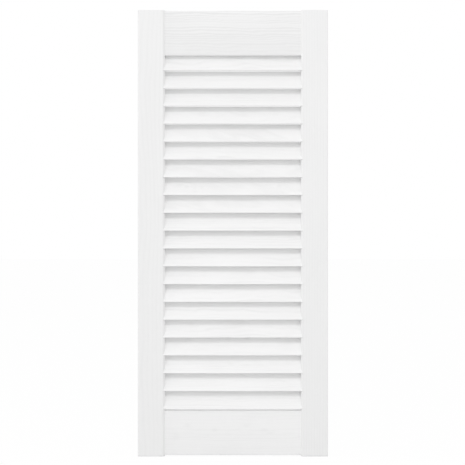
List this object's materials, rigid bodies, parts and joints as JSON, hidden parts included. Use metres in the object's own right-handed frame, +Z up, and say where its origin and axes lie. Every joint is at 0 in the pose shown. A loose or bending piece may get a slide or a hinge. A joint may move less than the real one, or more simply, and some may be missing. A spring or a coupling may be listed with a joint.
{
  "type": "louvred door",
  "caption": "Painted pine louvred door leaf for a cupboard: two stiles, two set-back rails and a row of fixed sloping slats that let air through but hide what is behind.",
  "frame": {"origin": "on the hinge edge, the outer edge of the left stile seen from the front, at its foot and halfway through its thickness", "axes": "+X across the door from the hinge edge to the closing edge, +Y from the front to the back, +Z up"},
  "size_m": [0.294, 0.021, 0.69],
  "materials": {
    "painted_pine": "white satin paint with the grain showing faintly through",
    "bare_dowel": "bare hardwood"
  },
  "bodies": {
    "root": {"left_stile": "painted_pine", "right_stile": "painted_pine", "top_rail": "painted_pine", "bottom_rail": "painted_pine", "slat_01": "painted_pine", "slat_02": "painted_pine", "slat_03": "painted_pine", "slat_04": "painted_pine", "slat_05": "painted_pine", "slat_06": "painted_pine", "slat_07": "painted_pine", "slat_08": "painted_pine", "slat_09": "painted_pine", "slat_10": "painted_pine", "slat_11": "painted_pine", "slat_12": "painted_pine", "slat_13": "painted_pine", "slat_14": "painted_pine", "slat_15": "painted_pine", "slat_16": "painted_pine", "slat_17": "painted_pine", "slat_18": "painted_pine", "slat_19": "painted_pine", "slat_20": "painted_pine", "top_rail_dowels": "bare_dowel", "bottom_rail_dowels": "bare_dowel"}
  },
  "joints": []
}
